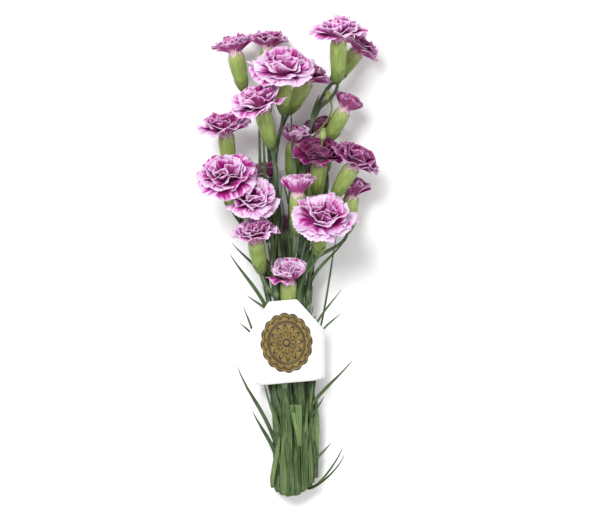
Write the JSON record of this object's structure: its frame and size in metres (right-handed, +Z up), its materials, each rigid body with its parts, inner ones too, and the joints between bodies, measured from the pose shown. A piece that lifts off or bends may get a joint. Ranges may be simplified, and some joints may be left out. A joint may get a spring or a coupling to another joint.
{
  "type": "bunch of cut spray carnations",
  "caption": "Cut spray carnations, pink-white with magenta hearts, lying as a tied bunch in a white card band with a gold seal.",
  "frame": {"origin": "on the surface that the bunch lies on, under the middle of its box", "axes": "+Y from the cut stem ends to the blooms, +Z up from the surface, out of the band's front"},
  "size_m": [0.1716, 0.4472, 0.1235],
  "materials": {
    "green": "waxy green stem, leaf and calyx",
    "petal": "matt magenta petal with pale pink edges",
    "card": "uncoated white card",
    "rubber": "natural rubber elastic",
    "foil": "satin gold foil with a dark printed pattern"
  },
  "bodies": {
    "root": {"bloom_a": "petal", "bloom_b": "petal", "bloom_c": "petal", "bloom_d": "petal", "bloom_e": "petal", "bloom_f": "petal", "bloom_g": "petal", "bloom_h": "petal", "bloom_i": "petal", "bloom_j": "petal", "bloom_k": "petal", "bloom_l": "petal", "bloom_m": "petal", "bloom_n": "petal", "bloom_o": "petal", "bloom_p": "petal", "bloom_q": "petal", "bloom_r": "petal", "bloom_s": "petal", "bloom_t": "petal", "bloom_u": "petal", "bloom_v": "petal", "bloom_w": "petal", "card_band": "card", "elastic_tie": "rubber", "gold_seal": "foil", "spray_back_left": "green", "spray_back_right": "green", "spray_centre": "green", "spray_front_centre": "green", "spray_front_left": "green", "spray_left": "green", "spray_left_low": "green", "spray_low": "green", "spray_right": "green", "spray_right_front": "green", "spray_right_low": "green"}
  },
  "joints": []
}
